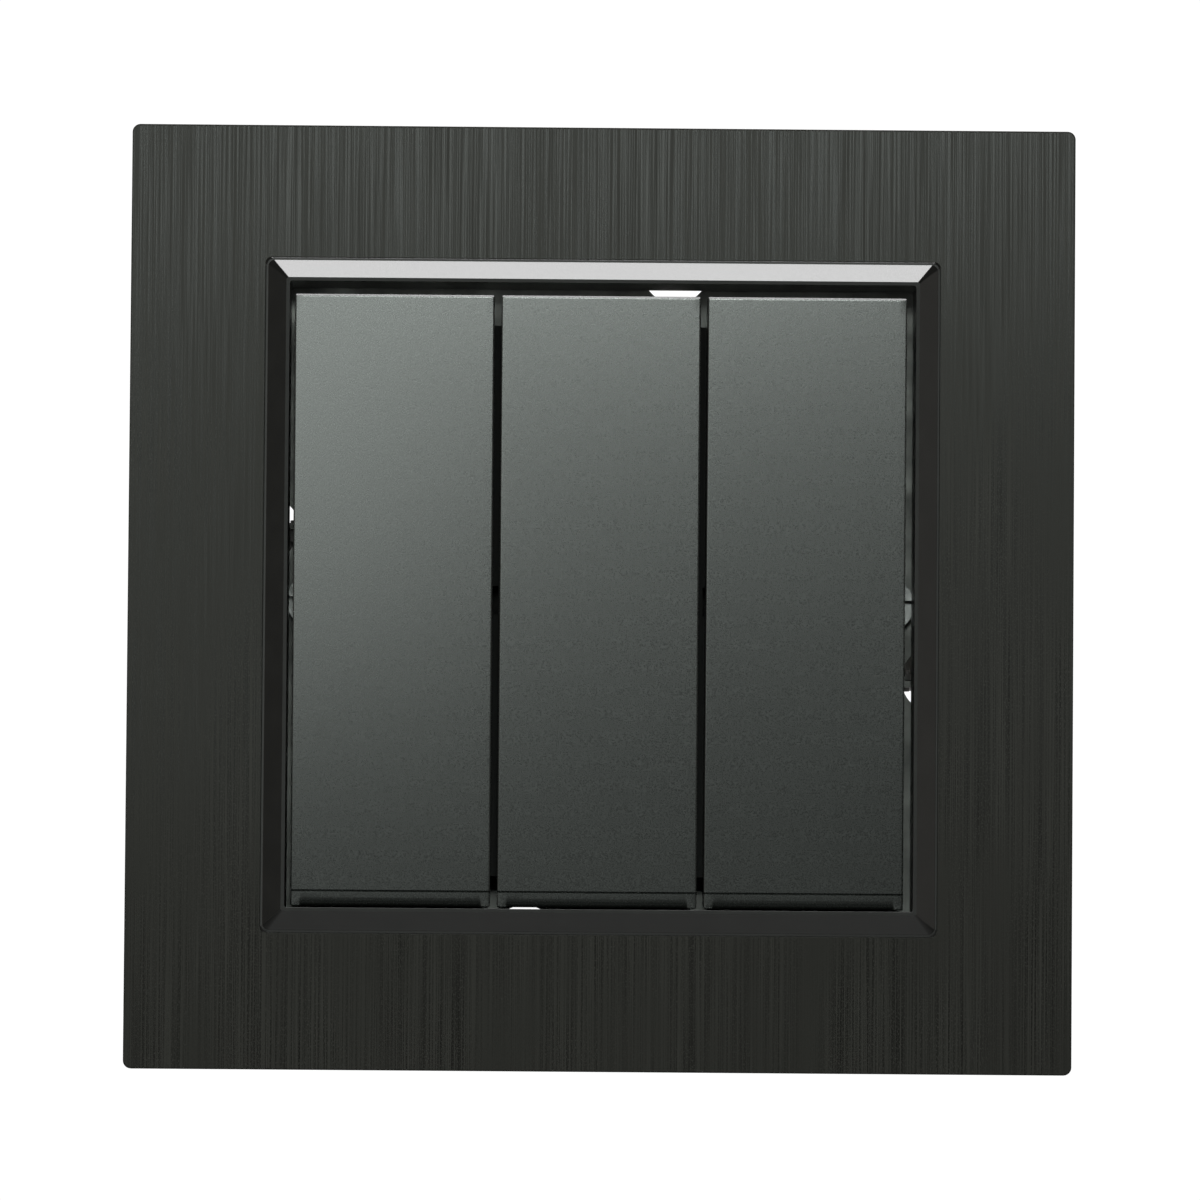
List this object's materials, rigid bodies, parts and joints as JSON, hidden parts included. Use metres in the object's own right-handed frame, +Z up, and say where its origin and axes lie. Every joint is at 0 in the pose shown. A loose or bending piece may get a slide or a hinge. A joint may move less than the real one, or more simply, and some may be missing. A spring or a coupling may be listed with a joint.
{
  "type": "flush rocker light switch",
  "caption": "Flush wall light switch with narrow rocker keys side by side in a square cover frame, brushed black face, raised gloss lip, steel strap, claws and contact mechanism.",
  "frame": {"origin": "centre of the strap's 60 mm screw circle, on the wall's plane", "axes": "+X to the right seen from the room, +Y into the wall, +Z up"},
  "size_m": [0.082, 0.0359, 0.082],
  "materials": {
    "face_sheet": "black, brushed along Z, satin lacquer",
    "frame_plastic": "polished",
    "key_plastic": "satin, very fine spark-eroded grain",
    "zinc_steel": "bright zinc plating over stamped sheet",
    "cover_plastic": "moulded thermoset",
    "housing_plastic": "moulded thermoset",
    "actuator_plastic": "moulded, slightly waxy",
    "spring_steel": "drawn wire",
    "plunger_brass": "turned",
    "contact_copper": "stamped copper alloy",
    "contact_silver": "riveted silver",
    "screw_steel": "zinc plated"
  },
  "bodies": {
    "switch_insert": {"mounting_strap": "zinc_steel", "mechanism_cover": "cover_plastic", "mechanism_body": "housing_plastic", "common_bar": "contact_copper", "fixed_tips": "contact_silver", "claw_pins": "screw_steel", "assembly_screws": "screw_steel", "fixed_contact_left": "contact_copper", "fixed_contact_middle": "contact_copper", "fixed_contact_right": "contact_copper"},
    "cover_frame": {"face_plate": "face_sheet", "frame_base": "frame_plastic"},
    "rocker_left": {"key_left": "key_plastic", "actuator_left": "actuator_plastic", "plunger_spring_left": "spring_steel"},
    "pin_left": {"plunger_left": "plunger_brass"},
    "contact_left": {"moving_contact_left": "contact_copper", "moving_tip_left": "contact_silver"},
    "rocker_middle": {"key_middle": "key_plastic", "actuator_middle": "actuator_plastic", "plunger_spring_middle": "spring_steel"},
    "pin_middle": {"plunger_middle": "plunger_brass"},
    "contact_middle": {"moving_contact_middle": "contact_copper", "moving_tip_middle": "contact_silver"},
    "rocker_right": {"key_right": "key_plastic", "actuator_right": "actuator_plastic", "plunger_spring_right": "spring_steel"},
    "pin_right": {"plunger_right": "plunger_brass"},
    "contact_right": {"moving_contact_right": "contact_copper", "moving_tip_right": "contact_silver"},
    "clamp_1": {"terminal_clamp_1": "zinc_steel"},
    "tightener_1": {"terminal_screw_1": "screw_steel"},
    "clamp_2": {"terminal_clamp_2": "zinc_steel"},
    "tightener_2": {"terminal_screw_2": "screw_steel"},
    "clamp_3": {"terminal_clamp_3": "zinc_steel"},
    "tightener_3": {"terminal_screw_3": "screw_steel"},
    "clamp_4": {"terminal_clamp_4": "zinc_steel"},
    "tightener_4": {"terminal_screw_4": "screw_steel"},
    "claw_drive_left": {"claw_screw_left": "screw_steel"},
    "claw_block_left": {"claw_nut_left": "zinc_steel"},
    "claw_left": {"claw_arm_left": "zinc_steel"},
    "claw_drive_right": {"claw_screw_right": "screw_steel"},
    "claw_block_right": {"claw_nut_right": "zinc_steel"},
    "claw_right": {"claw_arm_right": "zinc_steel"}
  },
  "joints": [
    {"name": "frame_pull_off", "type": "slide", "parent": "switch_insert", "child": "cover_frame", "axis": [0, -1, 0], "range_m": [0, 0.02]},
    {"name": "key_rock_left", "type": "hinge", "parent": "switch_insert", "child": "rocker_left", "pos_m": [0, -0.004, 0], "axis": [-1, 0, 0], "range_deg": [0, 5.6]},
    {"name": "plunger_press_left", "type": "slide", "parent": "rocker_left", "child": "pin_left", "axis": [0, -0.9988, -0.0489], "range_m": [0, 0.0008], "stiffness_N_per_m": 300, "springref_m": -0.002, "deforming": ["plunger_spring_left"]},
    {"name": "contact_rock_left", "type": "hinge", "parent": "switch_insert", "child": "contact_left", "pos_m": [0, 0.0096, 0], "axis": [-1, 0, 0], "range_deg": [-11.2, 0]},
    {"name": "key_rock_middle", "type": "hinge", "parent": "switch_insert", "child": "rocker_middle", "pos_m": [0, -0.004, 0], "axis": [-1, 0, 0], "range_deg": [0, 5.6]},
    {"name": "plunger_press_middle", "type": "slide", "parent": "rocker_middle", "child": "pin_middle", "axis": [0, -0.9988, -0.0489], "range_m": [0, 0.0008], "stiffness_N_per_m": 300, "springref_m": -0.002, "deforming": ["plunger_spring_middle"]},
    {"name": "contact_rock_middle", "type": "hinge", "parent": "switch_insert", "child": "contact_middle", "pos_m": [0, 0.0096, 0], "axis": [-1, 0, 0], "range_deg": [-11.2, 0]},
    {"name": "key_rock_right", "type": "hinge", "parent": "switch_insert", "child": "rocker_right", "pos_m": [0, -0.004, 0], "axis": [-1, 0, 0], "range_deg": [0, 5.6]},
    {"name": "plunger_press_right", "type": "slide", "parent": "rocker_right", "child": "pin_right", "axis": [0, -0.9988, -0.0489], "range_m": [0, 0.0008], "stiffness_N_per_m": 300, "springref_m": -0.002, "deforming": ["plunger_spring_right"]},
    {"name": "contact_rock_right", "type": "hinge", "parent": "switch_insert", "child": "contact_right", "pos_m": [0, 0.0096, 0], "axis": [-1, 0, 0], "range_deg": [-11.2, 0]},
    {"name": "terminal_turn_1", "type": "hinge", "parent": "switch_insert", "child": "tightener_1", "pos_m": [-0.011, 0.0151, 0.02], "axis": [0, 0, -1], "range_deg": [0, 720]},
    {"name": "clamp_lift_1", "type": "slide", "parent": "switch_insert", "child": "clamp_1", "axis": [0, 0, 1], "range_m": [0, 0.0012]},
    {"name": "terminal_turn_2", "type": "hinge", "parent": "switch_insert", "child": "tightener_2", "pos_m": [0, 0.0151, 0.02], "axis": [0, 0, -1], "range_deg": [0, 720]},
    {"name": "clamp_lift_2", "type": "slide", "parent": "switch_insert", "child": "clamp_2", "axis": [0, 0, 1], "range_m": [0, 0.0012]},
    {"name": "terminal_turn_3", "type": "hinge", "parent": "switch_insert", "child": "tightener_3", "pos_m": [0.011, 0.0151, 0.02], "axis": [0, 0, -1], "range_deg": [0, 720]},
    {"name": "clamp_lift_3", "type": "slide", "parent": "switch_insert", "child": "clamp_3", "axis": [0, 0, 1], "range_m": [0, 0.0012]},
    {"name": "terminal_turn_4", "type": "hinge", "parent": "switch_insert", "child": "tightener_4", "pos_m": [0, 0.0151, -0.02], "axis": [0, 0, 1], "range_deg": [0, 720]},
    {"name": "clamp_lift_4", "type": "slide", "parent": "switch_insert", "child": "clamp_4", "axis": [0, 0, -1], "range_m": [0, 0.0012]},
    {"name": "claw_turn_left", "type": "hinge", "parent": "switch_insert", "child": "claw_drive_left", "pos_m": [-0.025, 0, 0], "axis": [0, 1, 0], "range_deg": [0, 5760]},
    {"name": "claw_draw_left", "type": "slide", "parent": "switch_insert", "child": "claw_block_left", "axis": [0, -1, 0], "range_m": [0, 0.008]},
    {"name": "claw_spread_left", "type": "hinge", "parent": "switch_insert", "child": "claw_left", "pos_m": [-0.0265, 0.0025, 0], "axis": [0, 0, 1], "range_deg": [0, 15]},
    {"name": "claw_turn_right", "type": "hinge", "parent": "switch_insert", "child": "claw_drive_right", "pos_m": [0.025, 0, 0], "axis": [0, 1, 0], "range_deg": [0, 5760]},
    {"name": "claw_draw_right", "type": "slide", "parent": "switch_insert", "child": "claw_block_right", "axis": [0, -1, 0], "range_m": [0, 0.008]},
    {"name": "claw_spread_right", "type": "hinge", "parent": "switch_insert", "child": "claw_right", "pos_m": [0.0265, 0.0025, 0], "axis": [0, 0, -1], "range_deg": [0, 15]}
  ],
  "couplings": [
    {"joint": "contact_rock_left", "follows": "key_rock_left", "ratio": -2},
    {"joint": "contact_rock_middle", "follows": "key_rock_middle", "ratio": -2},
    {"joint": "contact_rock_right", "follows": "key_rock_right", "ratio": -2},
    {"joint": "terminal_turn_1", "follows": "clamp_lift_1", "rad_per_m": 10470},
    {"joint": "terminal_turn_2", "follows": "clamp_lift_2", "rad_per_m": 10470},
    {"joint": "terminal_turn_3", "follows": "clamp_lift_3", "rad_per_m": 10470},
    {"joint": "terminal_turn_4", "follows": "clamp_lift_4", "rad_per_m": 10470},
    {"joint": "claw_turn_left", "follows": "claw_draw_left", "rad_per_m": 12560},
    {"joint": "claw_spread_left", "follows": "claw_draw_left", "rad_per_m": 32.7},
    {"joint": "claw_turn_right", "follows": "claw_draw_right", "rad_per_m": 12560},
    {"joint": "claw_spread_right", "follows": "claw_draw_right", "rad_per_m": 32.7}
  ]
}
